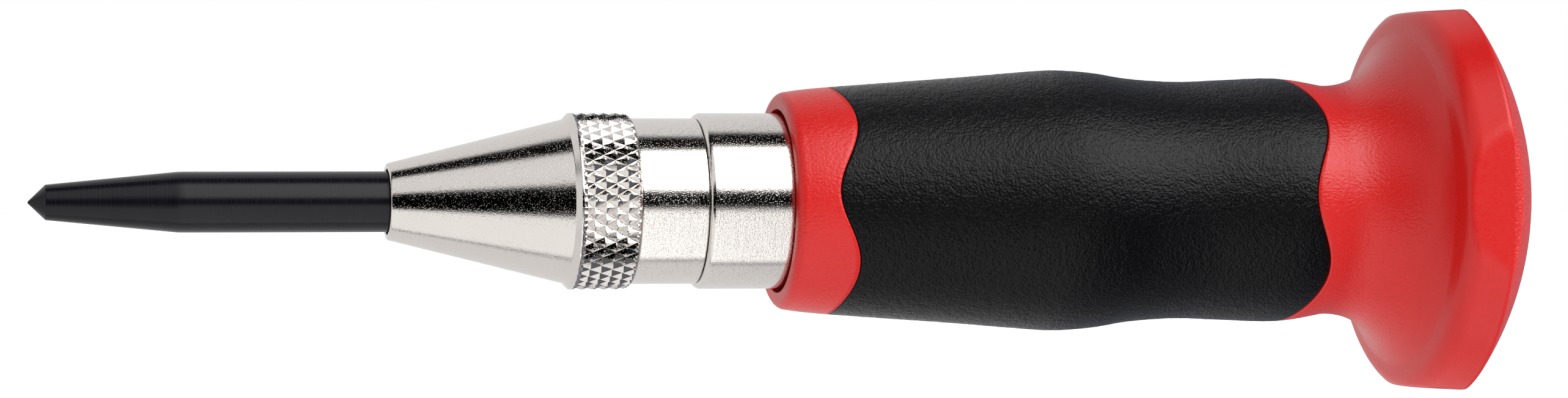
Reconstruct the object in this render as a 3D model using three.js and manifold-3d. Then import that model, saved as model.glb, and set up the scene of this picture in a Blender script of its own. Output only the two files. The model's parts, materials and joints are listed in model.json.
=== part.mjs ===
// Automatic centre punch with a two-component handle: the whole tool, piece by piece.
// Millimetres, +Z up. The tool lies along X with its tip towards -X and its palm dome towards +X.
// A "station" is a distance along the axis from the tip. Outlines are lists of [station, radius].

import * as THREE from 'three';
import { mergeVertices } from 'three/addons/utils/BufferGeometryUtils.js';
import Module from 'manifold-3d';

const wasm = await Module();
wasm.setup();

// ---------------------------------------------------------------- driving dimensions

const LENGTH = 171.2;
const GAP = 0.3;
const ROUND_SIDES = 36;
const SMALL_SIDES = 20;
const WIRE_SIDES = 6;
const STEPS_PER_TURN = 11;

const PIN_RADIUS = 3.44;
const TIP_LENGTH = 2;
const TIP_TAPER_END = 17;
const PIN_END = 60.8;
const SHANK_RADIUS = 2.6;
const SHANK_END = 66.2;
const SHANK_GROOVE = { start: 63.1, end: 64.3, radius: 2.1 };
const SNAP_RING = { radius: 2.55, thickness: 0.6 };

const MOUTH = 40.5;
const MOUTH_RADIUS = 4.3;
const CONE_SLOPE = 0.2475;
const KNURL_START = 60.7;
const KNURL_END = 68.1;
const KNURL_RADIUS = 10.03;
const KNURL_CHAMFER = 0.55;
const FRONT_RADIUS = 9.42;
const JOINT = 75.75;
const BUSHING_BORE_START = 50;
const BUSHING_BORE_RADIUS = 5.2;
const SPINDLE_BORE_START = 58;
const NOSE_SEAL = { station: 73.3, radius: 7.7, thickness: 0.8 };

const BARREL_RADIUS = 10;
const BARREL_SHOULDER = 102;
const BARREL_END = 142;
const THREAD_RADIUS = 8.9;
const THREAD_ROOT = 8.5;
const THREAD_RIDGES = 5;
const SPIGOT_START = 66.5;
const SPIGOT_RADIUS = 7.9;
const SPIGOT_GROOVE = { start: 72.6, end: 74, radius: 7.05 };
const THREAD_RELIEF = { start: 106, end: 108, radius: 8.2 };
const SPINDLE_BORE = 6.5;
const STRIKER_BORE = 7.5;
const STEERING_SHOULDER = 88;

const SPINDLE_START = PIN_END + GAP;
const SPINDLE_END = 73;
const SPINDLE_RADIUS = 6;
const SPINDLE_NECK_RADIUS = 4;
const SPRING_LAND = 1.5;
const SOCKET_FLOOR = 66.6;
const SOCKET_RADIUS = SHANK_RADIUS + 0.35;
const ROD_CUP_FLOOR = 68.2;
const ROD_CUP_RADIUS = 2.6;

const ROD_START = ROD_CUP_FLOOR + GAP;
const ROD_END = 101;
const ROD_HEAD_LENGTH = 2.4;
const ROD_HEAD_RADIUS = 2.2;
const ROD_STEM_LENGTH = 17.5;
const ROD_STEM_RADIUS = 1.9;
const ROD_CONE_LENGTH = 2.5;
const ROD_TAIL_RADIUS = 1.2;
const ROD_CANT = THREE.MathUtils.degToRad(2.2);

const HAMMER_START = ROD_END + GAP;
const HAMMER_END = 124.3;
const HAMMER_RADIUS = 7.2;
const HAMMER_BORE_DEPTH = 15;
const HAMMER_BORE_RADIUS = 1.65;
const SPRING_PILOT_LENGTH = 2.5;
const SPRING_PILOT_RADIUS = 4.9;

const SEAT_START = 148;
const SEAT_END = 149.6;
const SEAT_RADIUS = 8.8;

const INSERT_START = 106;
const INSERT_FLOOR = 151;
const INSERT_END = 153.5;
const INSERT_RADIUS = 10.9;
const INSERT_BORE = 9.2;
const ANCHOR_STATIONS = [113, 135];
const ANCHOR_LENGTH = 4;

const COLLAR_FRONT = 85.2;
const COLLAR_RADIUS = 12.3;
const COLLAR_ROUNDING = 1;
const COLLAR_BORE = 10.3;
const COLLAR_GROOVE = { start: 86.6, end: 88.2, radius: 11.2 };
const BARREL_SEAL = { station: 87.4, radius: 10.6, thickness: 0.8 };
const GRIP_FRONT = 91.4;
const GRIP_BACK = 145;
const GRIP_THICKNESS = 1.4;
const GRIP_BOND = 0.15;
const EDGE_REACH = 3;

const NECK = 148.8;
const RIM_STATION = 158.5;
const RIM_RADIUS = 22;
const DOME_EDGE_RADIUS = 23.3;
const DOME_SPHERE = 37.5;
const FLAT_APOTHEM = 21.65;
const FLAT_COUNT = 4;

// ---------------------------------------------------------------- materials

function material(color, roughness, metalness) {
  return new THREE.MeshStandardMaterial({ color, roughness, metalness });
}

const BLACK_OXIDE = () => material(0x1b1c1f, 0.45, 0.8);
const SATIN_NICKEL = () => material(0xc9c4bb, 0.28, 1);
const HARDENED_STEEL = () => material(0x8d9095, 0.35, 1);
const SPRING_STEEL = () => material(0x6f757c, 0.3, 1);
const BRONZE = () => material(0xa9793f, 0.4, 1);
const RED_PLASTIC = () => material(0xd8302b, 0.45, 0);
const BLACK_PLASTIC = () => material(0x17181b, 0.6, 0);
const SEAL_RUBBER = () => material(0x121212, 0.8, 0);
const NYLON = () => material(0xe8e4d8, 0.5, 0);

// ---------------------------------------------------------------- shape helpers

// A solid of revolution about X. The outline runs from front to back along the outside. It starts
// and ends on the axis, or it is a ring's section and closes on itself.
function turned(outline, sides = ROUND_SIDES) {
  const onAxis = outline[0][1] === 0;
  const loop = onAxis ? outline : [...outline, outline[0]];
  const points = loop.map(([station, radius]) => new THREE.Vector2(radius, station));
  return new THREE.LatheGeometry(points, sides).rotateZ(-Math.PI / 2);
}

// A plain ring between two stations.
function ring(start, end, inner, outer, sides = SMALL_SIDES) {
  return turned([[start, inner], [start, outer], [end, outer], [end, inner]], sides);
}

// The section points of a round stretch about a centre, from one angle to another, in degrees.
function arc(station, radius, size, fromDegrees, toDegrees, steps) {
  const points = [];
  for (let i = 0; i <= steps; i += 1) {
    const angle = THREE.MathUtils.degToRad(THREE.MathUtils.lerp(fromDegrees, toDegrees, i / steps));
    points.push([station + size * Math.cos(angle), radius + size * Math.sin(angle)]);
  }
  return points;
}

// Evenly spaced points of a curve whose x is the station and whose y is the radius.
function along(curve, steps) {
  return curve.getPoints(steps).map((point) => [point.x, point.y]);
}

// A screw thread drawn as a few coarse rings between two stations.
function ridges(start, end, crest, root) {
  const pitch = (end - start) / THREAD_RIDGES;
  const points = [];
  for (let i = 0; i < THREAD_RIDGES; i += 1) {
    points.push([start + i * pitch, root], [start + (i + 0.5) * pitch, crest]);
  }
  points.push([end, root]);
  return points;
}

// An O-ring or snap ring of round section.
function roundRing({ station, radius, thickness }) {
  const section = arc(station, radius, thickness / 2, 180, -180, 6).slice(0, -1);
  return turned(section, SMALL_SIDES);
}

// A coil spring's centre line: one closed turn at each end, and open turns between.
class CoilPath extends THREE.Curve {
  constructor({ start, end, frontRadius, backRadius, turns, wire }) {
    super();
    this.front = start + wire / 2;
    this.span = end - start - wire;
    this.radii = [frontRadius, backRadius];
    this.turns = turns;
    this.closedRise = wire * 1.15;
  }

  getPoint(t, target = new THREE.Vector3()) {
    const turn = t * this.turns;
    const openRise = (this.span - 2 * this.closedRise) / (this.turns - 2);
    const front = Math.min(turn, 1) * this.closedRise;
    const open = THREE.MathUtils.clamp(turn - 1, 0, this.turns - 2) * openRise;
    const back = Math.max(turn - this.turns + 1, 0) * this.closedRise;
    const radius = THREE.MathUtils.lerp(...this.radii, t);
    const angle = 2 * Math.PI * turn;
    return target.set(this.front + front + open + back, radius * Math.cos(angle), radius * Math.sin(angle));
  }
}

function coilSpring(spring) {
  const wire = new THREE.Shape().absarc(0, 0, spring.wire / 2, 0, 2 * Math.PI);
  return new THREE.ExtrudeGeometry(wire, {
    extrudePath: new CoilPath(spring),
    steps: spring.turns * STEPS_PER_TURN,
    curveSegments: WIRE_SIDES / 2,
    bevelEnabled: false,
  });
}

// A closed geometry as a manifold solid, with its shared vertices merged.
function solid(geometry) {
  const bare = geometry.clone();
  bare.deleteAttribute('normal');
  bare.deleteAttribute('uv');
  const merged = mergeVertices(bare, 1e-4);
  const corners = merged.index.array;
  const triVerts = [];
  for (let i = 0; i < corners.length; i += 3) {
    const [a, b, c] = corners.slice(i, i + 3);
    if (a !== b && b !== c && c !== a) triVerts.push(a, b, c);
  }
  return new wasm.Manifold(new wasm.Mesh({
    numProp: 3,
    vertProperties: new Float32Array(merged.attributes.position.array),
    triVerts: new Uint32Array(triVerts),
  }));
}

function fromSolid(manifold) {
  const mesh = manifold.getMesh();
  const geometry = new THREE.BufferGeometry();
  geometry.setAttribute('position', new THREE.BufferAttribute(mesh.vertProperties, 3));
  geometry.setIndex(new THREE.BufferAttribute(mesh.triVerts, 1));
  geometry.computeVertexNormals();
  return geometry;
}

// ---------------------------------------------------------------- punch and spindle

function punchPoint() {
  return turned([
    [0, 0],
    [TIP_LENGTH, TIP_LENGTH],
    [TIP_TAPER_END, PIN_RADIUS],
    [PIN_END, PIN_RADIUS],
    [PIN_END, SHANK_RADIUS],
    [SHANK_GROOVE.start, SHANK_RADIUS],
    [SHANK_GROOVE.start, SHANK_GROOVE.radius],
    [SHANK_GROOVE.end, SHANK_GROOVE.radius],
    [SHANK_GROOVE.end, SHANK_RADIUS],
    [SHANK_END, SHANK_RADIUS],
    [SHANK_END, 0],
  ], SMALL_SIDES);
}

// The snap ring that holds the point in the spindle's socket, in the groove of its shank.
function pointSnapRing() {
  const station = (SHANK_GROOVE.start + SHANK_GROOVE.end) / 2;
  return roundRing({ station, ...SNAP_RING });
}

function driveSpindle() {
  const chamfer = 0.4;
  const springLand = SPINDLE_END - SPRING_LAND;
  return turned([
    [SOCKET_FLOOR, 0],
    [SOCKET_FLOOR, SOCKET_RADIUS],
    [SPINDLE_START, SOCKET_RADIUS],
    [SPINDLE_START, SPINDLE_RADIUS - chamfer],
    [SPINDLE_START + chamfer, SPINDLE_RADIUS],
    [springLand, SPINDLE_RADIUS],
    [springLand, SPINDLE_NECK_RADIUS],
    [SPINDLE_END, SPINDLE_NECK_RADIUS],
    [SPINDLE_END, ROD_CUP_RADIUS],
    [ROD_CUP_FLOOR, ROD_CUP_RADIUS],
    [ROD_CUP_FLOOR, 0],
  ], SMALL_SIDES);
}

// The cushion between the spindle and the nose.
function bufferRing() {
  return ring(SPINDLE_BORE_START + GAP, SPINDLE_START - GAP, 4.2, SPINDLE_RADIUS);
}

// The trip rod from its head in the spindle's cup: a stout stem, a cone and a thin tail.
function tripRod() {
  const length = ROD_END - ROD_START;
  return turned([
    [0, 0],
    [0, ROD_HEAD_RADIUS],
    [ROD_HEAD_LENGTH, ROD_HEAD_RADIUS],
    [ROD_HEAD_LENGTH, ROD_STEM_RADIUS],
    [ROD_STEM_LENGTH, ROD_STEM_RADIUS],
    [ROD_STEM_LENGTH + ROD_CONE_LENGTH, ROD_TAIL_RADIUS],
    [length, ROD_TAIL_RADIUS],
    [length, 0],
  ], SMALL_SIDES);
}

const RETURN_SPRING = {
  start: SPINDLE_END - SPRING_LAND + GAP,
  end: STEERING_SHOULDER,
  frontRadius: 4.9,
  backRadius: 5.6,
  turns: 6,
  wire: 0.6,
};

// ---------------------------------------------------------------- nose

const coneRadius = (station) => MOUTH_RADIUS + 0.05 + CONE_SLOPE * (station - MOUTH);

function noseSleeve() {
  const rounding = 0.45;
  const front = KNURL_START + KNURL_CHAMFER;
  const back = KNURL_END - KNURL_CHAMFER;
  return turned([
    [MOUTH, PIN_RADIUS + GAP],
    [MOUTH, MOUTH_RADIUS - rounding + 0.1],
    [MOUTH + rounding, coneRadius(MOUTH + rounding)],
    [KNURL_START, coneRadius(KNURL_START)],
    [KNURL_START, KNURL_RADIUS - KNURL_CHAMFER],
    [front, KNURL_RADIUS],
    [back, KNURL_RADIUS],
    [KNURL_END, FRONT_RADIUS],
    [JOINT - GAP, FRONT_RADIUS],
    [JOINT - GAP, SPIGOT_RADIUS + GAP],
    [SPIGOT_START - GAP, SPIGOT_RADIUS + GAP],
    [SPIGOT_START - GAP, SPINDLE_RADIUS + GAP],
    [SPINDLE_BORE_START, SPINDLE_RADIUS + GAP],
    [SPINDLE_BORE_START, BUSHING_BORE_RADIUS],
    [BUSHING_BORE_START, BUSHING_BORE_RADIUS],
    [BUSHING_BORE_START, PIN_RADIUS + GAP],
  ]);
}

// The bearing that guides the point. It runs close on the point and sits loose in the nose.
function noseBushing() {
  const running = 0.06;
  const seating = 0.25;
  const end = SPINDLE_BORE_START - GAP;
  return ring(BUSHING_BORE_START + GAP, end, PIN_RADIUS + running, BUSHING_BORE_RADIUS - seating);
}

// ---------------------------------------------------------------- barrel and striker

function barrel() {
  const rounding = 0.5;
  const chamfer = 0.4;
  return turned([
    [SPIGOT_START, SPINDLE_BORE],
    [SPIGOT_START, SPIGOT_RADIUS - chamfer],
    [SPIGOT_START + chamfer, SPIGOT_RADIUS],
    [SPIGOT_GROOVE.start, SPIGOT_RADIUS],
    [SPIGOT_GROOVE.start, SPIGOT_GROOVE.radius],
    [SPIGOT_GROOVE.end, SPIGOT_GROOVE.radius],
    [SPIGOT_GROOVE.end, SPIGOT_RADIUS],
    [JOINT, SPIGOT_RADIUS],
    [JOINT, BARREL_RADIUS - rounding],
    [JOINT + rounding, BARREL_RADIUS],
    [BARREL_SHOULDER, BARREL_RADIUS],
    [BARREL_SHOULDER, THREAD_ROOT],
    [THREAD_RELIEF.start, THREAD_ROOT],
    [THREAD_RELIEF.start, THREAD_RELIEF.radius],
    [THREAD_RELIEF.end, THREAD_RELIEF.radius],
    ...ridges(THREAD_RELIEF.end, BARREL_END, THREAD_RADIUS, THREAD_ROOT),
    [BARREL_END, STRIKER_BORE],
    [STEERING_SHOULDER, STRIKER_BORE],
    [STEERING_SHOULDER, SPINDLE_BORE],
  ]);
}

// Nylon ring in the thread's relief groove, whose drag keeps the chosen setting.
function threadBrakeRing() {
  const { start, end, radius } = THREAD_RELIEF;
  const looseness = 0.15;
  return ring(start + 0.4, end - 0.4, radius + looseness, INSERT_BORE - looseness);
}

// The funnel that lines the trip rod up with the hammer's bore as the rod comes back.
function steeringRing() {
  const start = STEERING_SHOULDER + GAP;
  const end = start + 4;
  const funnel = 1.5;
  const mouth = 4.2;
  const throat = 2.4;
  return turned([
    [start, mouth],
    [start, STRIKER_BORE - GAP],
    [end, STRIKER_BORE - GAP],
    [end, throat],
    [start + funnel, throat],
  ], SMALL_SIDES);
}

function hammer() {
  const chamfer = 0.5;
  const pilotEnd = HAMMER_END + SPRING_PILOT_LENGTH;
  return turned([
    [HAMMER_START + HAMMER_BORE_DEPTH, 0],
    [HAMMER_START + HAMMER_BORE_DEPTH, HAMMER_BORE_RADIUS],
    [HAMMER_START, HAMMER_BORE_RADIUS],
    [HAMMER_START, HAMMER_RADIUS - chamfer],
    [HAMMER_START + chamfer, HAMMER_RADIUS],
    [HAMMER_END, HAMMER_RADIUS],
    [HAMMER_END, SPRING_PILOT_RADIUS],
    [pilotEnd - chamfer, SPRING_PILOT_RADIUS],
    [pilotEnd, SPRING_PILOT_RADIUS - chamfer],
    [pilotEnd, 0],
  ], SMALL_SIDES);
}

const MAIN_SPRING = {
  start: HAMMER_END + GAP,
  end: SEAT_START - GAP,
  frontRadius: 6.1,
  backRadius: 6.1,
  turns: 6,
  wire: 1.5,
};

// ---------------------------------------------------------------- seat and insert in the handle

function springSeat() {
  const chamfer = 0.5;
  const pilotStart = SEAT_START - SPRING_PILOT_LENGTH;
  return turned([
    [pilotStart, 0],
    [pilotStart, SPRING_PILOT_RADIUS - chamfer],
    [pilotStart + chamfer, SPRING_PILOT_RADIUS],
    [SEAT_START, SPRING_PILOT_RADIUS],
    [SEAT_START, SEAT_RADIUS],
    [SEAT_END, SEAT_RADIUS],
    [SEAT_END, 0],
  ], SMALL_SIDES);
}

function thrustWasher() {
  const hole = 3;
  return ring(SEAT_END + GAP, INSERT_FLOOR - GAP, hole, SEAT_RADIUS);
}

// The threaded cup moulded into the handle, with two anchor grooves round the outside.
function threadedInsert() {
  const groove = INSERT_RADIUS - 0.6;
  const anchors = ANCHOR_STATIONS.flatMap((station) => [
    [station, INSERT_RADIUS],
    [station, groove],
    [station + ANCHOR_LENGTH, groove],
    [station + ANCHOR_LENGTH, INSERT_RADIUS],
  ]);
  return turned([
    [INSERT_FLOOR, 0],
    [INSERT_FLOOR, INSERT_BORE],
    [INSERT_START, INSERT_BORE],
    [INSERT_START, INSERT_RADIUS],
    ...anchors,
    [INSERT_END, INSERT_RADIUS],
    [INSERT_END, 0],
  ], SMALL_SIDES);
}

// ---------------------------------------------------------------- handle

// The hand-shaped outline from the collar to the neck, as a smooth curve through its swells.
const handleOutline = new THREE.SplineCurve([
  [85.8, 12.35],
  [90, 12.88],
  [104.8, 13.97],
  [113.2, 14.67],
  [117.4, 14.91],
  [121.7, 14.62],
  [126, 13.95],
  [131.5, 13.6],
  [136.5, 13.77],
  [141.8, 14],
  [145, 13.84],
  [NECK, 13.16],
].map(([station, radius]) => new THREE.Vector2(station, radius)));

const HANDLE_SAMPLES = along(handleOutline, 200);

// The handle's outside radius at a station between the collar and the neck.
function handleRadius(station) {
  const next = Math.max(1, HANDLE_SAMPLES.findIndex((sample) => sample[0] >= station));
  const [[s0, r0], [s1, r1]] = [HANDLE_SAMPLES[next - 1], HANDLE_SAMPLES[next]];
  return THREE.MathUtils.mapLinear(station, s0, s1, r0, r1);
}

// An angle round the axis, from 0 at the side that faces -Y, shifted by a phase. The crests of a
// wave that is drawn on it are pulled towards the two sides that face -Y and +Y.
const pulled = (angle, phase, pull) => angle - phase + pull * Math.sin(2 * (angle - phase));

// How far the black grip's edges wave along the axis.
function frontWave(angle) {
  const at = pulled(angle, 0.08, 0.157);
  return -0.6 * Math.cos(2 * at) - Math.cos(4 * at);
}

const backWave = (angle) => -1.15 * Math.cos(4 * pulled(angle, 0.04, 0.1));

// Slides the points near the grip's two edges along the axis so that the edges wave.
function waveEdges(geometry) {
  const position = geometry.attributes.position;
  for (let i = 0; i < position.count; i += 1) {
    const station = position.getX(i);
    const angle = Math.atan2(position.getZ(i), -position.getY(i));
    const front = Math.max(0, 1 - Math.abs(station - GRIP_FRONT) / EDGE_REACH);
    const back = Math.max(0, 1 - Math.abs(station - GRIP_BACK) / EDGE_REACH);
    position.setX(i, station + front * frontWave(angle) + back * backWave(angle));
  }
  return geometry;
}

// Stations along the grip, from edge to edge: the outside's, and the fewer of the seat under it.
const WAVE_ENDS = [GRIP_FRONT + EDGE_REACH, GRIP_BACK - EDGE_REACH];
const SWELL_STATIONS = [101, 108, 113, 117.4, 121.7, 126, 131.5, 138];
const GRIP_STATIONS = [GRIP_FRONT, WAVE_ENDS[0], ...SWELL_STATIONS, WAVE_ENDS[1], GRIP_BACK];
const SEAT_STATIONS = [GRIP_FRONT, WAVE_ENDS[0], 117.4, 131.5, WAVE_ENDS[1], GRIP_BACK];

const gripSection = (stations, depth) => stations.map((station) => [station, handleRadius(station) - depth]);

function gripSleeve() {
  const outside = gripSection(GRIP_STATIONS, 0);
  const inside = gripSection(SEAT_STATIONS, GRIP_THICKNESS).reverse();
  return waveEdges(turned([...outside, ...inside]));
}

// The red core: collar, seat for the grip, neck, flared head and palm dome, bored from the front.
function handleCore() {
  const collarEdge = [
    [COLLAR_FRONT, COLLAR_RADIUS - COLLAR_ROUNDING],
    [COLLAR_FRONT + COLLAR_ROUNDING, COLLAR_RADIUS],
  ];
  const underGrip = gripSection(SEAT_STATIONS, GRIP_THICKNESS + GRIP_BOND);
  underGrip[0][0] -= GRIP_BOND;
  underGrip.at(-1)[0] += GRIP_BOND;
  const collarEnd = GRIP_FRONT - GRIP_BOND;
  const neckStart = GRIP_BACK + GRIP_BOND;
  const waist = (GRIP_BACK + NECK) / 2;
  const flare = new THREE.CubicBezierCurve(
    new THREE.Vector2(NECK, 13.16),
    new THREE.Vector2(154.5, 13),
    new THREE.Vector2(157.3, 17),
    new THREE.Vector2(RIM_STATION, 21.6),
  );
  const domeCentre = LENGTH - DOME_SPHERE;
  const domeEdge = THREE.MathUtils.radToDeg(Math.asin(DOME_EDGE_RADIUS / DOME_SPHERE));
  const dome = arc(domeCentre, 0, DOME_SPHERE, domeEdge, 0, 5);
  dome.at(-1)[1] = 0;
  const bore = turned([
    [COLLAR_FRONT - 1, 0],
    [COLLAR_FRONT - 1, COLLAR_BORE],
    [COLLAR_GROOVE.start, COLLAR_BORE],
    [COLLAR_GROOVE.start, COLLAR_GROOVE.radius],
    [COLLAR_GROOVE.end, COLLAR_GROOVE.radius],
    [COLLAR_GROOVE.end, COLLAR_BORE],
    [INSERT_START - GAP, COLLAR_BORE],
    [INSERT_START - GAP, INSERT_RADIUS + GAP],
    [INSERT_END + GAP, INSERT_RADIUS + GAP],
    [INSERT_END + GAP, 0],
  ], SMALL_SIDES);
  const body = turned([
    [COLLAR_FRONT, 0],
    ...collarEdge,
    [COLLAR_GROOVE.end, handleRadius(COLLAR_GROOVE.end)],
    [collarEnd, handleRadius(collarEnd)],
    ...underGrip,
    [neckStart, handleRadius(neckStart)],
    [waist, handleRadius(waist)],
    ...along(flare, 6),
    [RIM_STATION + 0.3, RIM_RADIUS],
    ...dome,
  ]);
  return cutFlats(solid(waveEdges(body)).subtract(solid(bore)));
}

// Cuts the head's flats, which stop the tool from rolling.
function cutFlats(head) {
  const length = 20;
  const width = 60;
  const depth = 10;
  let cut = head;
  for (let i = 0; i < FLAT_COUNT; i += 1) {
    const block = new THREE.BoxGeometry(length, width, depth);
    block.translate(RIM_STATION + length / 4, 0, FLAT_APOTHEM + depth / 2);
    block.rotateX((2 * Math.PI * i) / FLAT_COUNT);
    cut = cut.subtract(solid(block));
  }
  return fromSolid(cut);
}

// ---------------------------------------------------------------- assembly

const tool = new THREE.Group();
tool.position.x = -LENGTH / 2;

function add(name, geometry, finish) {
  const mesh = new THREE.Mesh(geometry, finish());
  mesh.name = name;
  tool.add(mesh);
  return mesh;
}

add('punch_point', punchPoint(), BLACK_OXIDE);
add('point_snap_ring', pointSnapRing(), SPRING_STEEL);
add('drive_spindle', driveSpindle(), HARDENED_STEEL);
add('buffer_ring', bufferRing(), SEAL_RUBBER);
add('return_spring', coilSpring(RETURN_SPRING), SPRING_STEEL);

const rod = add('trip_rod', tripRod(), HARDENED_STEEL);
rod.position.x = ROD_START;
rod.rotation.y = -ROD_CANT;

add('nose_sleeve', noseSleeve(), SATIN_NICKEL);
add('nose_bushing', noseBushing(), BRONZE);
add('nose_seal', roundRing(NOSE_SEAL), SEAL_RUBBER);

add('barrel', barrel(), SATIN_NICKEL);
add('thread_brake_ring', threadBrakeRing(), NYLON);
add('steering_ring', steeringRing(), HARDENED_STEEL);
add('hammer', hammer(), HARDENED_STEEL);
add('main_spring', coilSpring(MAIN_SPRING), SPRING_STEEL);

add('spring_seat', springSeat(), HARDENED_STEEL);
add('thrust_washer', thrustWasher(), BRONZE);
add('threaded_insert', threadedInsert(), BRONZE);
add('barrel_seal', roundRing(BARREL_SEAL), SEAL_RUBBER);

add('handle_core', handleCore(), RED_PLASTIC);
add('grip_sleeve', gripSleeve(), BLACK_PLASTIC);

const part = new THREE.Group();
part.add(tool);

export default part;
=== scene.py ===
import json
import math

import bpy
import numpy as np
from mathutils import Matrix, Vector, noise


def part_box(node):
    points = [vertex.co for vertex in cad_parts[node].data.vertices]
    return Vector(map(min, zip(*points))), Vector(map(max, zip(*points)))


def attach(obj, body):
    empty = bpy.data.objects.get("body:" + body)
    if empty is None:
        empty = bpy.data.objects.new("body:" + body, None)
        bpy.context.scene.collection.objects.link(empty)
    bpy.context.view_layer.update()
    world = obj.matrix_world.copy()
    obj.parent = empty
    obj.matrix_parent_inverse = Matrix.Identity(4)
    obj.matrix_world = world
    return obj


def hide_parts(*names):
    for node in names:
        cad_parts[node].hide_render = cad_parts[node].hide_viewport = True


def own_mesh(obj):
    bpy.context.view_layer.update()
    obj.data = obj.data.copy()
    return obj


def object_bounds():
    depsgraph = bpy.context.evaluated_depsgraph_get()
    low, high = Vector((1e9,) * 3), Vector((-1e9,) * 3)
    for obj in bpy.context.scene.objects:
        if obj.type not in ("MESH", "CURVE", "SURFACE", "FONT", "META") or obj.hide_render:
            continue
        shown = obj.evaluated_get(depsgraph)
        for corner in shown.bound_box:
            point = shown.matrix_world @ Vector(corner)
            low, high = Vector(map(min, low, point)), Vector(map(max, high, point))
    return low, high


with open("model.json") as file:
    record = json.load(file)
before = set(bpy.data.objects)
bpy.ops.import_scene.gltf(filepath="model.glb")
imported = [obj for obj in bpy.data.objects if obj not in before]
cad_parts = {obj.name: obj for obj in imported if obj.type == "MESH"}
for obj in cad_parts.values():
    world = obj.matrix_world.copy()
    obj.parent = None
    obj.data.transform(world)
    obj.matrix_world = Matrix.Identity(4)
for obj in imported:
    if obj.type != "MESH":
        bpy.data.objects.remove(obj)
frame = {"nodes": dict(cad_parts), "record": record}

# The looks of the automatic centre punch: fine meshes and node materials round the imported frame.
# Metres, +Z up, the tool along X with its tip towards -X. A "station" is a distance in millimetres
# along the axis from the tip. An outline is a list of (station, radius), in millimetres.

CAD_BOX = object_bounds()

# ------------------------------------------------------------------ places taken from the frame

MM = 0.001
TIP = CAD_BOX[0].x
LENGTH = (CAD_BOX[1].x - TIP) / MM


def span(node):
    """The front station, back station and outer radius of a CAD node."""
    low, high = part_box(node)
    return (low.x - TIP) / MM, (high.x - TIP) / MM, high.z / MM


_, SHANK_END, PIN_RADIUS = span("punch_point")
MOUTH, NOSE_END, KNURL_RADIUS = span("nose_sleeve")
SPIGOT_START, BARREL_END, BARREL_RADIUS = span("barrel")
COLLAR_FRONT, _, _ = span("handle_core")
SPRING_FRONT, SPRING_BACK, _ = span("main_spring")
RETURN_FRONT, RETURN_BACK, _ = span("return_spring")
INSERT_FRONT, INSERT_BACK, INSERT_RADIUS = span("threaded_insert")
SEAL_FRONT, SEAL_BACK, _ = span("barrel_seal")

# ------------------------------------------------------------------ driving dimensions, millimetres

CLEARANCE = 0.3

TIP_LENGTH = 2.0
TIP_TAPER_END = 17.0
SHANK_START = 60.8
SHANK_RADIUS = 2.6
SHANK_GROOVE_FRONT = 63.1
SHANK_GROOVE_BACK = 64.3
SHANK_GROOVE_RADIUS = 2.1

CONE_SLOPE = 0.2475
MOUTH_RADIUS = 4.35
KNURL_START = 60.7
KNURL_LAND = 61.45
KNURL_END = 68.1
KNURL_CHAMFER = 0.55
FRONT_RADIUS = 9.42
# The fine joint line that shows is narrower than the CAD gap between nose and barrel.
NOSE_BACK = NOSE_END + 0.22
PIN_BORE_LENGTH = 9.5
BUSHING_BORE_START = 50.0
BUSHING_BORE_RADIUS = 5.2
SPINDLE_BORE_START = 58.0
SPINDLE_BORE_RADIUS = 6.3
TEETH = 44
TOOTH_STEPS = 12
TOOTH_LENGTH = 2.52
TOOTH_DEPTH = 0.45
TOOTH_TOP = 0.93

JOINT = 75.75
SPIGOT_RADIUS = 7.9
SPIGOT_BORE_RADIUS = 6.5
SPIGOT_GROOVE_FRONT = 72.6
SPIGOT_GROOVE_BACK = 74.0
SPIGOT_GROOVE_RADIUS = 7.05
HAMMER_BORE_START = 88.0
HAMMER_BORE_RADIUS = 7.5
BARREL_SHOULDER = 102.0
THREAD_RELIEF_START = 106.0
THREAD_RELIEF_RADIUS = 8.2
THREAD_START = 108.0
THREAD_PITCH = 1.5
THREAD_ROOT = 8.3
THREAD_CREST = 8.9

GRIP_FRONT = 91.4
GRIP_BACK = 145.0
GRIP_THICKNESS = 1.4
BOND = 0.05
NECK = 148.8
NECK_RADIUS = 13.16
RIM_STATION = 158.5
RIM_RADIUS = 22.0
DOME_EDGE = 163.1
DOME_EDGE_RADIUS = 23.3
DOME_EDGE_ROUNDING = 0.6
DOME_SPHERE = 37.5
RIM_ROUNDING = 2.6
FLAT_COUNT = 4
FLAT_APOTHEM = 21.6
FLAT_SLOPE = 0.026
FLAT_SOFTNESS = 0.45
COLLAR_RADIUS = 12.3
COLLAR_CURVE_START = 86.6
COLLAR_MOUTH = 10.45
COLLAR_BORE = 10.3
COLLAR_GROOVE_RADIUS = 11.2
COLLAR_ROUNDING = 1.0


# ------------------------------------------------------------------ mesh helpers

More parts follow.
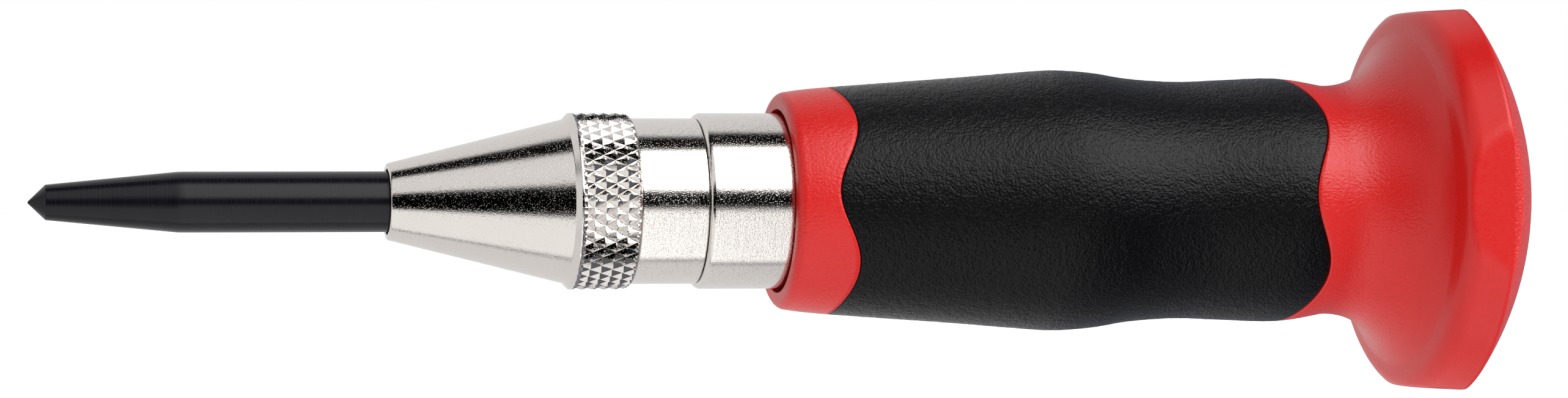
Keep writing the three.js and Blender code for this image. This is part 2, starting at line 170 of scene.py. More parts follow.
def rounded(outline, steps=6):
    """An outline of (station, radius, rounding) corners, with an arc at each corner that has one.
    A point close to each end of every straight stretch keeps the shading of the flats clean."""
    support = 0.04
    points = []
    for i, (station, radius, size) in enumerate(outline):
        corner = np.array((station, radius))
        if size == 0 or i in (0, len(outline) - 1):
            points.append([corner])
            continue
        back = np.array(outline[i - 1][:2]) - corner
        ahead = np.array(outline[i + 1][:2]) - corner
        back = back / np.linalg.norm(back)
        ahead = ahead / np.linalg.norm(ahead)
        half = math.acos(np.clip(back @ ahead, -1, 1)) / 2
        middle = (back + ahead) / np.linalg.norm(back + ahead)
        centre = corner + middle * size / math.sin(half)
        first = corner + back * size / math.tan(half) - centre
        last = corner + ahead * size / math.tan(half) - centre
        sweep = math.pi - 2 * half
        shares = [k / steps for k in range(steps + 1)]
        points.append([
            centre + (first * math.sin((1 - t) * sweep) + last * math.sin(t * sweep)) / math.sin(sweep)
            for t in shares
        ])
    smooth = list(points[0])
    for arc in points[1:]:
        start, end = smooth[-1], arc[0]
        length = np.linalg.norm(end - start)
        if length > 4 * support:
            step = (end - start) / length * support
            smooth += [start + step, end - step]
        smooth += arc
    return [tuple(p) for p in smooth]


def turn(outline, columns):
    """Points of a surface of revolution, row by row. Angle 0 faces -Y and a quarter turn is up."""
    station, radius = np.array(outline, float).T
    angle = np.arange(columns) * 2 * math.pi / columns
    return place(station[:, None] + 0 * angle, radius[:, None] + 0 * angle, angle)


def place(station, radius, angle):
    """Row-frame points, in metres, for arrays of stations, radii and angles."""
    return np.stack([
        TIP + station * MM,
        -radius * np.cos(angle) * MM,
        radius * np.sin(angle) * MM,
    ], -1)


def build(name, rows, finish, loop=False, knurl=None):
    """A closed mesh from rows of points that go round the axis. A loop's last row joins its first.
    Otherwise the first and last rows shrink to one point each. knurl is the range of rows whose
    four-sided faces are cut along the groove that crosses them and stay flat."""
    columns = rows.shape[1]
    poles = [] if loop else [rows[0].mean(0), rows[-1].mean(0)]
    grid = rows if loop else rows[1:-1]
    count = len(grid)
    j = np.arange(count if loop else count - 1)[:, None]
    i = np.arange(columns)[None, :]
    near, far, right = j * columns, (j + 1) % count * columns, (i + 1) % columns
    quads = np.stack([near + i, far + i, far + right, near + right], -1)
    faces = []
    flat_start, flat_end = 0, 0
    for row, strip in enumerate(quads.tolist()):
        if knurl and knurl[0] <= row < knurl[1]:
            flat_start = flat_start or len(faces)
            for column, (a, b, c, d) in enumerate(strip):
                groove = (column - (row - knurl[0])) % (TOOTH_STEPS // 2) == 0
                faces += [(a, b, c), (a, c, d)] if groove else [(a, b, d), (b, c, d)]
            flat_end = len(faces)
        else:
            faces += strip
    points = grid.reshape(-1, 3)
    if not loop:
        points = np.vstack([points, poles])
        front, back = len(points) - 2, len(points) - 1
        last = (count - 1) * columns
        for k in range(columns):
            after = (k + 1) % columns
            faces.append((front, k, after))
            faces.append((last + k, back, last + after))
    mesh = bpy.data.meshes.new(name)
    mesh.from_pydata(points.tolist(), [], faces)
    smooth = np.ones(len(mesh.polygons), bool)
    smooth[flat_start:flat_end] = False
    mesh.polygons.foreach_set("use_smooth", smooth)
    mesh.materials.append(finish)
    piece = bpy.data.objects.new(name, mesh)
    bpy.context.scene.collection.objects.link(piece)
    return piece


def settle(piece, body, slot, *nodes):
    """The piece rides on its body and stands for its CAD nodes."""
    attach(piece, body)
    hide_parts(*nodes)
    return piece


def blend_in(value, start, end):
    """0 before start, 1 after end, and a smooth rise between."""
    t = np.clip((value - start) / (end - start), 0, 1)
    return t * t * (3 - 2 * t)


# ------------------------------------------------------------------ node helpers

class Graph:
    """Adds nodes to a tree. An input is a number, a colour or another node's output."""

    def __init__(self, tree):
        self.tree = tree

    def add(self, kind, inputs=None, output=0, **settings):
        node = self.tree.nodes.new(kind)
        for key, value in settings.items():
            setattr(node, key, value)
        for key, value in (inputs or {}).items():
            if isinstance(value, bpy.types.NodeSocket):
                self.tree.links.new(value, node.inputs[key])
            else:
                node.inputs[key].default_value = value
        return node.outputs[output] if node.outputs else node

    def math(self, operation, a, b=0.0, clamp=False):
        return self.add("ShaderNodeMath", {0: a, 1: b}, operation=operation, use_clamp=clamp)

    def mix(self, factor, a, b):
        """A colour between a and b."""
        return self.add("ShaderNodeMix", {0: factor, 6: a, 7: b}, output=2, data_type="RGBA")

    def remap(self, value, low, high, to_low, to_high, smooth=False):
        kind = "SMOOTHSTEP" if smooth else "LINEAR"
        inputs = {0: value, 1: low, 2: high, 3: to_low, 4: to_high}
        return self.add("ShaderNodeMapRange", inputs, interpolation_type=kind)

    def noise(self, vector, scale, detail=2.0, roughness=0.5):
        inputs = {"Vector": vector, "Scale": scale, "Detail": detail, "Roughness": roughness}
        return self.add("ShaderNodeTexNoise", inputs)

    def stretch(self, vector, scale):
        return self.add("ShaderNodeMapping", {"Vector": vector, "Scale": scale})

    def ramp(self, value, stops):
        """A colour ramp with the given (position, grey or colour) stops."""
        node = self.tree.nodes.new("ShaderNodeValToRGB")
        self.tree.links.new(value, node.inputs[0])
        elements = node.color_ramp.elements
        while len(elements) < len(stops):
            elements.new(0.5)
        for element, (position, color) in zip(elements, stops):
            element.position = position
            rgb = color if isinstance(color, tuple) else (color,) * 3
            element.color = (*rgb, 1.0)
        return node.outputs[0]


def new_material(name):
    """A material's graph, its shader and its object coordinates."""
    made = bpy.data.materials.new(name)
    made.use_nodes = True
    shader = made.node_tree.nodes["Principled BSDF"]
    graph = Graph(made.node_tree)
    coordinates = graph.add("ShaderNodeTexCoord", output=3)
    return made, graph, shader, coordinates


def wire(graph, shader, color, roughness, height, distance):
    """Links a colour, a roughness and a bump height, in metres, to the shader."""
    links = graph.tree.links
    links.new(color, shader.inputs["Base Color"])
    links.new(roughness, shader.inputs["Roughness"])
    bump = graph.add("ShaderNodeBump", {"Height": height, "Distance": distance, "Strength": 1.0})
    links.new(bump, shader.inputs["Normal"])


# ------------------------------------------------------------------ materials

def turned_metal(name, color, roughness, lines=0.5, specks=0.5, dots=0.0, relief=1e-5):
    """Metal with fine turning lines round the axis, the fine orange peel of a plated surface, and
    the scattered dots of a blasted one."""
    made, graph, shader, place_at = new_material(name)
    shader.inputs["Metallic"].default_value = 1.0
    rings = graph.noise(graph.stretch(place_at, (6500, 60, 60)), 1.0, 2.0)
    peel = graph.noise(place_at, 7500, 2.0)
    sand = graph.remap(graph.noise(place_at, 8000, 0.0), 0.64, 0.76, 0.0, dots)
    cloud = graph.noise(place_at, 180, 3.0)
    dark = tuple(0.94 * c for c in color)
    tint = graph.mix(cloud, (*dark, 1), (*color, 1))
    rough = graph.remap(cloud, 0.3, 0.7, roughness * 0.85, roughness * 1.2)
    tint = graph.mix(sand, tint, (*(0.6 * c for c in color), 1))
    height = graph.math("ADD", graph.math("MULTIPLY", rings, lines),
                        graph.math("MULTIPLY", peel, specks))
    wire(graph, shader, tint, rough, graph.math("ADD", height, sand), relief)
    return made


def black_oxide(name):
    """Blackened steel: a deep, cold black with fine turning lines and paler streaks along them."""
    made, graph, shader, place_at = new_material(name)
    rings = graph.noise(graph.stretch(place_at, (5200, 40, 40)), 1.0, 3.0)
    cloud = graph.noise(place_at, 260, 4.0)
    peel = graph.noise(place_at, 5200, 1.0)
    tint = graph.mix(cloud, (0.0015, 0.0015, 0.003, 1), (0.004, 0.004, 0.008, 1))
    streaks = graph.remap(rings, 0.35, 0.7, 0.0, 0.25)
    tint = graph.mix(streaks, tint, (0.01, 0.01, 0.016, 1))
    rough = graph.remap(rings, 0.3, 0.7, 0.18, 0.3)
    height = graph.math("ADD", graph.math("MULTIPLY", rings, 0.7), graph.math("MULTIPLY", peel, 0.3))
    shader.inputs["Specular IOR Level"].default_value = 0.3
    wire(graph, shader, tint, rough, height, 6e-6)
    return made


def red_plastic(name):
    """Hard red plastic: grained like fine leather on the collar and neck, smoother on the head's
    flats, and with light pink dots on the palm dome that are painted glints of its grain."""
    made, graph, shader, place_at = new_material(name)
    station = graph.add("ShaderNodeSeparateXYZ", {"Vector": place_at})
    flats = TIP + (RIM_STATION - 1) * MM
    dome = TIP + (DOME_EDGE + 0.4) * MM
    on_head = graph.remap(station, flats - 0.003, flats, 0.0, 1.0, smooth=True)
    on_dome = graph.remap(station, dome - 0.0003, dome, 0.0, 1.0, smooth=True)
    leather = graph.noise(graph.stretch(place_at, (1.0, 1.4, 1.4)), 2600, 2.0)
    speckle = graph.noise(place_at, 5200, 1.0)
    cloud = graph.noise(place_at, 70, 3.0)
    tint = graph.mix(cloud, (0.55, 0.0075, 0.006, 1), (0.62, 0.0105, 0.008, 1))
    # Light pink dots on the palm dome: painted glints of the dome's grain, put into the base colour.
    painted_glints = graph.remap(speckle, 0.55, 0.7, 0.0, 0.4)
    tint = graph.mix(graph.math("MULTIPLY", painted_glints, on_dome), tint, (0.85, 0.22, 0.2, 1))
    rough = graph.remap(leather, 0.3, 0.7, 0.26, 0.36)
    soft = graph.remap(on_head, 0.0, 1.0, 1.0, 0.15)
    height = graph.math("MULTIPLY", leather, soft)
    height = graph.math("ADD", height, graph.math("MULTIPLY", speckle, graph.math("MULTIPLY", on_dome, 0.5)))
    height = graph.math("ADD", height, graph.math("MULTIPLY", speckle, 0.06))
    shader.inputs["Specular IOR Level"].default_value = 0.45
    wire(graph, shader, tint, rough, height, 7.5e-5)
    return made


def black_grip(name):
    """Soft black plastic. The leather grain is in the mesh, and this adds its finest pits."""
    made, graph, shader, place_at = new_material(name)
    pits = graph.noise(place_at, 3600, 2.0)
    cloud = graph.noise(place_at, 90, 3.0)
    tint = graph.mix(cloud, (0.0006, 0.0006, 0.001, 1), (0.0018, 0.0018, 0.0026, 1))
    rough = graph.remap(pits, 0.3, 0.7, 0.2, 0.32)
    shader.inputs["Specular IOR Level"].default_value = 0.2
    wire(graph, shader, tint, rough, pits, 1.1e-4)
    return made


def dull(name, color, roughness, grain, relief):
    """Rubber or nylon: an even colour with a slight mottle and a moulded skin."""
    made, graph, shader, place_at = new_material(name)
    skin = graph.noise(place_at, grain, 2.0)
    mottle = graph.noise(place_at, 300, 3.0)
    tint = graph.mix(mottle, (*(0.8 * c for c in color), 1), (*color, 1))
    rough = graph.remap(skin, 0.3, 0.7, roughness * 0.9, roughness * 1.1)
    wire(graph, shader, tint, rough, skin, relief)
    return made


FINISHES = {
    "satin_nickel": turned_metal("satin_nickel", (0.83, 0.79, 0.745), 0.1,
                                 lines=0.12, specks=0.34, dots=0.2, relief=2.6e-5),
    "black_oxide_steel": black_oxide("black_oxide_steel"),
    "hardened_steel": turned_metal("hardened_steel", (0.48, 0.49, 0.51), 0.3),
    "spring_steel": turned_metal("spring_steel", (0.38, 0.40, 0.43), 0.28, lines=0.1),
    "bronze": turned_metal("bronze", (0.62, 0.42, 0.20), 0.32),
    "red_plastic": red_plastic("red_plastic"),
    "black_grip": black_grip("black_grip"),
    "seal_rubber": dull("seal_rubber", (0.015, 0.015, 0.015), 0.7, 3000, 1e-5),
    "nylon": dull("nylon", (0.8, 0.78, 0.7), 0.5, 2500, 8e-6),
}


def dress_frame():
    """Gives every CAD node the finish of its slot in the record."""
    for part in frame["record"]["subparts"]:
        node = frame["nodes"][part["node"]]
        for holder in node.material_slots:
            holder.material = FINISHES[part["material_slot"]]


# ------------------------------------------------------------------ punch and nose

def punch_point():
    outline = rounded([
        (0.02, 0.0, 0),
        (0.02, 0.1, 0.05),
        (TIP_LENGTH, TIP_LENGTH, 0.12),
        (TIP_TAPER_END, PIN_RADIUS, 12.0),
        (SHANK_START, PIN_RADIUS, 0.15),
        (SHANK_START, SHANK_RADIUS, 0),
        (SHANK_GROOVE_FRONT, SHANK_RADIUS, 0.05),
        (SHANK_GROOVE_FRONT, SHANK_GROOVE_RADIUS, 0),
        (SHANK_GROOVE_BACK, SHANK_GROOVE_RADIUS, 0),
        (SHANK_GROOVE_BACK, SHANK_RADIUS, 0.05),
        (SHANK_END, SHANK_RADIUS, 0.3),
        (SHANK_END, 0.0, 0),
    ])
    piece = build("punch_point_skin", turn(outline, 128), FINISHES["black_oxide_steel"])
    return settle(piece, "punch", "black_oxide_steel", "punch_point")


def cone_radius(station):
    return MOUTH_RADIUS + CONE_SLOPE * (station - MOUTH)


def knurled_radius(station, column, row):
    """Radius of the knurl: pyramids between two sets of crossing V grooves, cut to the ring's
    rounded back edge."""
    edge, edge_drop = 1.0, 0.75
    start_length = 0.35
    left = (column + row) / TOOTH_STEPS
    right = (column - row) / TOOTH_STEPS
    rise = np.minimum(1 - np.abs(2 * (left % 1) - 1), 1 - np.abs(2 * (right % 1) - 1))
    depth = TOOTH_DEPTH * np.clip(TOOTH_TOP - rise, 0, 1) / TOOTH_TOP
    depth = depth * np.clip((station - KNURL_LAND) / start_length, 0, 1)
    over = np.clip(station - (KNURL_END - edge), 0, edge)
    shell = KNURL_RADIUS - edge * edge_drop + edge_drop * np.sqrt(np.maximum(edge ** 2 - over ** 2, 0))
    return np.maximum(np.minimum(KNURL_RADIUS - depth, shell), FRONT_RADIUS - 0.05)


def nose_sleeve():
    columns = TEETH * TOOTH_STEPS
    step = TOOTH_LENGTH / TOOTH_STEPS
    pin_bore = PIN_RADIUS + CLEARANCE
    spigot_bore = SPIGOT_RADIUS + CLEARANCE
    before = rounded([
        (MOUTH + PIN_BORE_LENGTH, pin_bore, 0),
        (MOUTH, pin_bore, 0.12),
        (MOUTH, MOUTH_RADIUS - 0.02, 0.3),
        (KNURL_START - 0.1, cone_radius(KNURL_START - 0.1), 0.25),
        (KNURL_START + KNURL_CHAMFER, KNURL_RADIUS, 0.15),
        (KNURL_LAND, KNURL_RADIUS, 0),
    ])
    ring_rows = int(round((KNURL_END - KNURL_LAND) / step))
    after = rounded([
        (KNURL_LAND + ring_rows * step + 0.02, FRONT_RADIUS, 0),
        (NOSE_BACK, FRONT_RADIUS, 0.1),
        (NOSE_BACK, spigot_bore, 0.05),
        (SPIGOT_START - CLEARANCE, spigot_bore, 0),
        (SPIGOT_START - CLEARANCE, SPINDLE_BORE_RADIUS, 0),
        (SPINDLE_BORE_START, SPINDLE_BORE_RADIUS, 0),
        (SPINDLE_BORE_START, BUSHING_BORE_RADIUS, 0),
        (BUSHING_BORE_START, BUSHING_BORE_RADIUS, 0),
    ])
    row = np.arange(1, ring_rows + 1)[:, None]
    column = np.arange(columns)[None, :]
    station = KNURL_LAND + row * step + 0 * column
    radius = knurled_radius(station, column, row)
    angle = np.arange(columns) * 2 * math.pi / columns
    rows = np.concatenate([turn(before, columns), place(station, radius, angle), turn(after, columns)])
    knurl = (len(before) - 1, len(before) + ring_rows - 1)
    piece = build("nose_sleeve_skin", rows, FINISHES["satin_nickel"], loop=True, knurl=knurl)
    return settle(piece, "barrel", "satin_nickel", "nose_sleeve")


# ------------------------------------------------------------------ barrel and springs

def barrel():
    columns = 288
    front = rounded([
        (SPIGOT_START, SPIGOT_BORE_RADIUS, 0),
        (SPIGOT_START, SPIGOT_RADIUS, 0.4),
        (SPIGOT_GROOVE_FRONT, SPIGOT_RADIUS, 0.05),
        (SPIGOT_GROOVE_FRONT, SPIGOT_GROOVE_RADIUS, 0),
        (SPIGOT_GROOVE_BACK, SPIGOT_GROOVE_RADIUS, 0),
        (SPIGOT_GROOVE_BACK, SPIGOT_RADIUS, 0.05),
        (JOINT, SPIGOT_RADIUS, 0),
        (JOINT, BARREL_RADIUS, 0.58),
        (BARREL_SHOULDER, BARREL_RADIUS, 0.4),
        (BARREL_SHOULDER, THREAD_ROOT, 0),
        (THREAD_RELIEF_START, THREAD_ROOT, 0),
        (THREAD_RELIEF_START, THREAD_RELIEF_RADIUS, 0),
        (THREAD_START, THREAD_RELIEF_RADIUS, 0),
    ])
    back = rounded([
        (BARREL_END, THREAD_ROOT, 0),
        (BARREL_END, HAMMER_BORE_RADIUS, 0),
        (HAMMER_BORE_START, HAMMER_BORE_RADIUS, 0),
        (HAMMER_BORE_START, SPIGOT_BORE_RADIUS, 0),
    ])
    station = np.arange(THREAD_START + 0.1, BARREL_END - 0.1, THREAD_PITCH / 6)[:, None]
    angle = (np.arange(columns) * 2 * math.pi / columns)[None, :]
    phase = (station / THREAD_PITCH + angle / (2 * math.pi)) % 1
    flank, root = 1.6, 0.3
    crest = np.clip(flank * (1 - np.abs(2 * phase - 1)) - root, 0, 1)
    lead_in, lead_out = 1, 0.8
    run_in = blend_in(station, THREAD_START, THREAD_START + lead_in)
    run_out = blend_in(-station, -BARREL_END, lead_out - BARREL_END)
    radius = THREAD_ROOT + (THREAD_CREST - THREAD_ROOT) * crest * run_in * run_out
    thread = place(station + 0 * angle, radius, angle[0])
    rows = np.concatenate([turn(front, columns), thread, turn(back, columns)])
    piece = build("barrel_skin", rows, FINISHES["satin_nickel"], loop=True)
    return settle(piece, "barrel", "satin_nickel", "barrel")


def coil(name, front, back, radii, turns, wire_size):
    """A compression spring: one closed turn at each end, open turns between, round wire."""
    steps, sides = 40, 12
    turn_at = np.linspace(0, turns, turns * steps + 1)
    closed = wire_size * 1.15
    open_rise = (back - front - wire_size - 2 * closed) / (turns - 2)
    rise = closed * (np.clip(turn_at, 0, 1) + np.clip(turn_at - turns + 1, 0, 1))
    rise = rise + open_rise * np.clip(turn_at - 1, 0, turns - 2)
    radius = np.interp(turn_at, (0, turns), radii)
    angle = 2 * math.pi * turn_at
    centre = np.stack([front + wire_size / 2 + rise, radius * np.cos(angle), radius * np.sin(angle)], -1)
    tangent = np.gradient(centre, axis=0)
    tangent = tangent / np.linalg.norm(tangent, axis=1)[:, None]
    outward = np.stack([0 * angle, np.cos(angle), np.sin(angle)], -1)
    side = np.cross(tangent, outward)
    around = (np.arange(sides) * 2 * math.pi / sides)[None, :, None]
    size = np.full((len(centre), 1, 1), wire_size / 2)
    ring = size * (np.cos(around) * outward[:, None] + np.sin(around) * side[:, None])
    points = centre[:, None] + ring
    caps = [np.repeat(centre[k][None, None], sides, 1) for k in (0, -1)]
    points = np.concatenate([caps[0], points, caps[1]]) * MM
    points[..., 0] += TIP
    return build(name, points, FINISHES["spring_steel"])


def springs():
    """Both springs, each riding on its own body."""
    main_coil = coil("main_spring_coil", SPRING_FRONT, SPRING_BACK,
                     radii=(6.1, 6.1), turns=6, wire_size=1.5)
    settle(main_coil, "seat", "spring_steel", "main_spring")
    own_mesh(main_coil)
    return_coil = coil("return_spring_coil", RETURN_FRONT, RETURN_BACK,
                       radii=(4.9, 5.6), turns=6, wire_size=0.6)
    settle(return_coil, "punch", "spring_steel", "return_spring")
    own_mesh(return_coil)


# ------------------------------------------------------------------ handle

HANDLE_POINTS = [
    (85.8, 12.35), (90, 12.88), (104.8, 13.97), (113.2, 14.67), (117.4, 14.91), (121.7, 14.62),
    (126, 13.95), (131.5, 13.6), (136.5, 13.77), (141.8, 14), (145, 13.84),
    (NECK, NECK_RADIUS),
]


def smooth_curve(points, steps):
    """A Catmull-Rom curve through the points."""
    knots = np.array([points[0], *points, points[-1]], float)
    t = np.linspace(0, 1, steps, endpoint=False)[:, None]
    parts = []
    for a, b, c, d in zip(knots, knots[1:], knots[2:], knots[3:]):
        parts.append(0.5 * (2 * b + (c - a) * t + (2 * a - 5 * b + 4 * c - d) * t ** 2
                            + (3 * b - a - 3 * c + d) * t ** 3))
    return np.vstack([*parts, knots[-1]])


HANDLE_CURVE = smooth_curve(HANDLE_POINTS, 16)


def handle_radius(station):
    return np.interp(station, HANDLE_CURVE[:, 0], HANDLE_CURVE[:, 1])


def pulled(angle, phase, pull):
    """The angle less a phase, shifted so that a wave drawn on it crowds towards -Y and +Y."""
    return angle - phase + pull * np.sin(2 * (angle - phase))


def front_edge(angle):
    """The station of the black grip's waving front edge."""
    at = pulled(angle, 0.08, 0.157)
    return GRIP_FRONT - 0.6 * np.cos(2 * at) - np.cos(4 * at)


def back_edge(angle):
    return GRIP_BACK - 1.15 * np.cos(4 * pulled(angle, 0.04, 0.1))


def grain(point):
    """Height of the leather grain at a point in metres, from -1 to 1."""
    broad = noise.noise(point * 1500)
    fine = noise.noise(point * 2900 + Vector((7, 3, 5)))
    return 0.7 * broad + 0.5 * fine


def grip_sleeve():
    columns, spacing = 460, 0.2
    rounding, relief = 0.22, 0.038
    smooth_border, full_grain = 0.1, 0.5
    angle = (np.arange(columns) * 2 * math.pi / columns)[None, :]
    front, back = front_edge(angle), back_edge(angle)
    edge = rounding * (1 - np.cos(np.linspace(0, math.pi / 2, 5)))
    middle = np.arange(1, round((GRIP_BACK - GRIP_FRONT) / spacing)) * spacing / (GRIP_BACK - GRIP_FRONT)
    inner = [front + e for e in edge]
    inner += [front + rounding + (back - front - 2 * rounding) * share for share in middle]
    inner += [back - e for e in edge[::-1]]
    station = np.concatenate(inner)
    into = np.minimum(station - front, back - station)
    drop = rounding - np.sqrt(np.maximum(rounding ** 2 - np.clip(rounding - into, 0, rounding) ** 2, 0))
    radius = handle_radius(station) - drop
    points = place(station, radius, angle[0])
    height = np.array([grain(Vector(p)) for p in points.reshape(-1, 3)]).reshape(station.shape)
    radius = radius + relief * height * blend_in(into, smooth_border, full_grain)
    under_shares = np.linspace(0, 1, 40)[::-1, None]
    under = front + (back - front) * under_shares
    under_radius = handle_radius(under) - GRIP_THICKNESS
    station = np.concatenate([station, under])
    radius = np.concatenate([radius, under_radius])
    piece = build("grip_skin", place(station, radius, angle[0]), FINISHES["black_grip"], loop=True)
    return settle(piece, "handle", "black_grip", "grip_sleeve")


def soft_least(a, b, softness):
    """The lesser of two radii, with the corner between them rounded off."""
    h = np.clip(0.5 + 0.5 * (b - a) / softness, 0, 1)
    return b * (1 - h) + a * h - softness * h * (1 - h)


def head_profile():
    """The flare from the neck, the rounded back rim, the conical side and the palm dome."""
    t = np.linspace(0, 0.84, 28)[1:, None]
    knots = [np.array(p) for p in ((NECK, NECK_RADIUS), (154.5, 13.0), (157.3, 17.0), (RIM_STATION, 21.2))]
    flare = ((1 - t) ** 3 * knots[0] + 3 * (1 - t) ** 2 * t * knots[1]
             + 3 * (1 - t) * t ** 2 * knots[2] + t ** 3 * knots[3])
    centre = LENGTH - DOME_SPHERE
    start = math.asin(DOME_EDGE_RADIUS / DOME_SPHERE)
    swing = start * (1 - np.linspace(0.02, 1, 48))
    dome = np.stack([centre + DOME_SPHERE * np.cos(swing), DOME_SPHERE * np.sin(swing)], -1)
    side = rounded([
        (*flare[-1], 0),
        (RIM_STATION - 0.1, RIM_RADIUS, RIM_ROUNDING),
        (DOME_EDGE, DOME_EDGE_RADIUS, DOME_EDGE_ROUNDING),
        (*dome[0], 0),
    ], steps=8)
    longest = 0.3
    stretch = [np.array(side[0])]
    for point in side[1:-1]:
        gap = np.linalg.norm(np.array(point) - stretch[-1])
        parts = max(1, math.ceil(gap / longest))
        last = stretch[-1]
        stretch += [last + (np.array(point) - last) * k / parts for k in range(1, parts + 1)]
    return np.vstack([flare[:-1], stretch, dome])


def handle_core():
    columns = 480
    angle = (np.arange(columns) * 2 * math.pi / columns)[None, :]
    front, back = front_edge(angle), back_edge(angle)
    seat_depth = GRIP_THICKNESS + BOND
    pocket_radius = INSERT_RADIUS + CLEARANCE
    seal_room, lip, lip_drop = 0.4, 0.08, 0.1
    inside = rounded([
        (INSERT_BACK + CLEARANCE, 0.0, 0),
        (INSERT_BACK + CLEARANCE, pocket_radius, 0),
        (INSERT_FRONT - CLEARANCE, pocket_radius, 0),
        (INSERT_FRONT - CLEARANCE, COLLAR_BORE, 0),
        (SEAL_BACK + seal_room, COLLAR_BORE, 0.1),
        (SEAL_BACK + seal_room, COLLAR_GROOVE_RADIUS, 0),
        (SEAL_FRONT - seal_room, COLLAR_GROOVE_RADIUS, 0),
        (SEAL_FRONT - seal_room, COLLAR_MOUTH, 0.1),
        (COLLAR_FRONT, COLLAR_MOUTH, 0.12),
        (COLLAR_FRONT, COLLAR_RADIUS, COLLAR_ROUNDING),
        (COLLAR_CURVE_START, handle_radius(COLLAR_CURVE_START), 0),
    ])
    collar_length = front - lip - COLLAR_CURVE_START
    collar = [COLLAR_CURVE_START + collar_length * share for share in np.linspace(0.1, 1, 10)]
    neck = [back + lip + (NECK - back - lip) * share for share in np.linspace(0, 0.97, 10)]
    under = [front + (back - front) * share for share in np.linspace(0, 1, 30)]
    under[0], under[-1] = under[0] - BOND, under[-1] + BOND
    collar_rows = [place(s, handle_radius(s), angle) for s in collar]
    collar_rows.append(place(front - BOND, handle_radius(front) - lip_drop, angle))
    under_rows = [place(s, handle_radius(s) - seat_depth, angle) for s in under]
    neck_rows = [place(back + BOND, handle_radius(back) - lip_drop, angle)]
    neck_rows += [place(s, handle_radius(s), angle) for s in neck]
    head = head_profile()
    station = head[:, 0][:, None] + 0 * angle
    turned_head = head[:, 1][:, None] + 0 * angle
    sector = 2 * math.pi / FLAT_COUNT
    to_flat = (angle + sector / 2) % sector - sector / 2
    apothem = FLAT_APOTHEM + FLAT_SLOPE * (station - RIM_STATION)
    radius = soft_least(turned_head, apothem / np.cos(to_flat), FLAT_SOFTNESS)
    flare_length = 6
    radius = np.where(station > NECK + flare_length, radius, turned_head)
    rows = [turn(inside, columns), *collar_rows, *under_rows, *neck_rows, place(station, radius, angle)]
    rows = np.concatenate([r.reshape(-1, columns, 3) for r in rows])
    rows[-1] = (TIP + LENGTH * MM, 0, 0)
    piece = build("handle_core_skin", rows, FINISHES["red_plastic"])
    return settle(piece, "handle", "red_plastic", "handle_core")


# ------------------------------------------------------------------ stage, light and camera

def floor():
    size, drop = 30.0, 0.07
    z = CAD_BOX[0].z - drop
    mesh = bpy.data.meshes.new("floor")
    corners = [(-size, -size, z), (size, -size, z), (size, size, z), (-size, size, z)]
    mesh.from_pydata(corners, [], [(0, 1, 2, 3)])
    made, graph, shader, place_at = new_material("floor_paper")
    fibre = graph.noise(place_at, 900, 3.0)
    tint = graph.mix(fibre, (0.90, 0.90, 0.90, 1), (0.93, 0.93, 0.93, 1))
    rough = graph.remap(fibre, 0.3, 0.7, 0.75, 0.85)
    wire(graph, shader, tint, rough, fibre, 1e-5)
    shader.inputs["Emission Color"].default_value = (1, 1, 1, 1)
    shader.inputs["Emission Strength"].default_value = 0.4
    mesh.materials.append(made)
    sheet = bpy.data.objects.new("floor", mesh)
    sheet.visible_glossy = False
    bpy.context.scene.collection.objects.link(sheet)


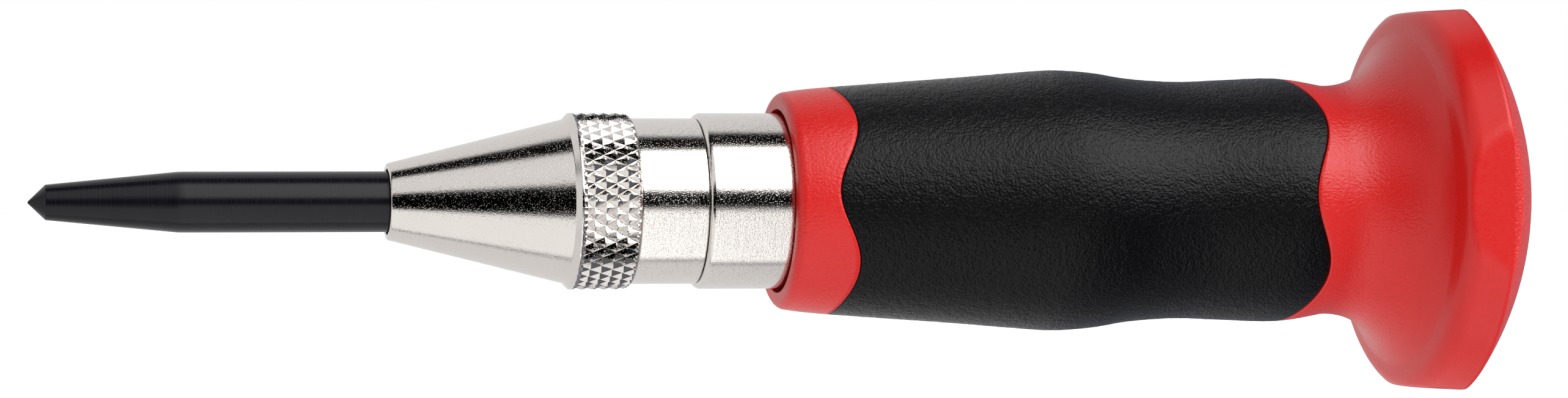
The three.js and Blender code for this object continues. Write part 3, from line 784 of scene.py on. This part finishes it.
def studio():
    """Soft light as panels and dark gaps round the tool's axis, seen against a white background.
    Angles are degrees round the axis from the camera side, -Y, and up."""
    world = bpy.data.worlds.new("studio")
    bpy.context.scene.world = world
    world.use_nodes = True
    world.node_tree.nodes.clear()
    graph = Graph(world.node_tree)
    direction = graph.add("ShaderNodeTexCoord", output=0)
    split = world.node_tree.nodes.new("ShaderNodeSeparateXYZ")
    world.node_tree.links.new(direction, split.inputs[0])
    x, y, z = split.outputs
    angle = graph.math("ARCTAN2", z, graph.math("MULTIPLY", y, -1.0))
    share = graph.math("ADD", graph.math("DIVIDE", angle, 2 * math.pi), 0.5)

    top_level = 3.5
    key_degrees, key_edge = (16, 74), 0.008

    def bands(back, low, high, gap_low, gap_high):
        """Levels round the axis: what is behind, the table below, the gap ahead and the panel above."""
        levels = [
            (-180, back), (-93, back), (-91.5, 0.3 * back), (-88.5, 0.3 * back), (-87, low),
            (gap_low - 3, low), (gap_low + 3, 0.0), (gap_high - 3, 0.0), (gap_high + 3, high),
            (71, high), (76, 0.0), (99, 0.0), (104, back), (180, back),
        ]
        return graph.ramp(share, [((degrees + 180) / 360, level / top_level) for degrees, level in levels])

    nose_side = bands(0.76, 0.98, 0.8, -23, 24)
    middle = bands(0.78, 1.4, 1.0, -11, 15)
    handle_side = bands(0.26, 0.13, 0.6, -11, 15)
    to_middle = graph.remap(x, -0.25, 0.1, 0.0, 1.0, smooth=True)
    to_handle = graph.remap(x, 0.232, 0.27, 0.0, 1.0, smooth=True)
    surround = graph.mix(to_handle, graph.mix(to_middle, nose_side, middle), handle_side)
    cold = graph.mix(to_handle, (1.0, 0.99, 1.0, 1), (0.94, 0.97, 1.12, 1))
    surround = graph.add("ShaderNodeMix", {0: 1.0, 6: surround, 7: cold},
                         output=2, data_type="RGBA", blend_type="MULTIPLY")
    key_from, key_to = [(degrees + 180) / 360 for degrees in key_degrees]
    key = graph.ramp(share, [(key_from - key_edge, 0.0), (key_from + key_edge, 1.0),
                             (key_to - key_edge, 1.0), (key_to + key_edge, 0.0)])
    along = graph.math("ADD", graph.remap(x, -0.1, 0.2, 0.0, 0.55, smooth=True),
                       graph.remap(x, 0.22, 0.32, 0.0, 0.45, smooth=True))
    color = graph.add("ShaderNodeMix", {0: 1.0, 6: surround, 7: graph.mix(along, (0, 0, 0, 1), key)},
                      output=2, data_type="RGBA", blend_type="ADD")
    front_end = graph.remap(x, -0.97, -0.9, 1.0, 0.0, smooth=True)
    back_end = graph.remap(x, 0.8, 0.95, 0.0, 1.0, smooth=True)
    color = graph.mix(front_end, color, (0.22, 0.22, 0.22, 1))
    color = graph.mix(back_end, color, (0.12, 0.12, 0.12, 1))
    light = graph.add("ShaderNodeBackground", {"Color": color, "Strength": top_level})
    white = graph.add("ShaderNodeBackground", {"Color": (1, 1, 1, 1), "Strength": 1.0})
    seen = graph.add("ShaderNodeLightPath", output=0)
    shown = graph.add("ShaderNodeMixShader", {0: seen, 1: light, 2: white})
    graph.add("ShaderNodeOutputWorld", {"Surface": shown})


def camera():
    """Level with the axis and just past the tip, turned a little towards the head."""
    data = bpy.data.cameras.new("camera")
    data.sensor_width = 36
    data.lens = 94.4
    data.shift_x = 0.3285
    data.shift_y = 0.0019
    data.clip_start = 0.01
    view = bpy.data.objects.new("camera", data)
    turn_right, roll = math.radians(5.4), math.radians(0.12)
    view.location = (-0.102, -0.461, 0.0)
    view.rotation_euler = (math.pi / 2, roll, -turn_right)
    bpy.context.scene.collection.objects.link(view)
    bpy.context.scene.camera = view


# ------------------------------------------------------------------ the scene

dress_frame()
punch_point()
nose_sleeve()
barrel()
springs()
grip_sleeve()
handle_core()
floor()
studio()
camera()
bpy.context.scene.view_settings.view_transform = "Standard"
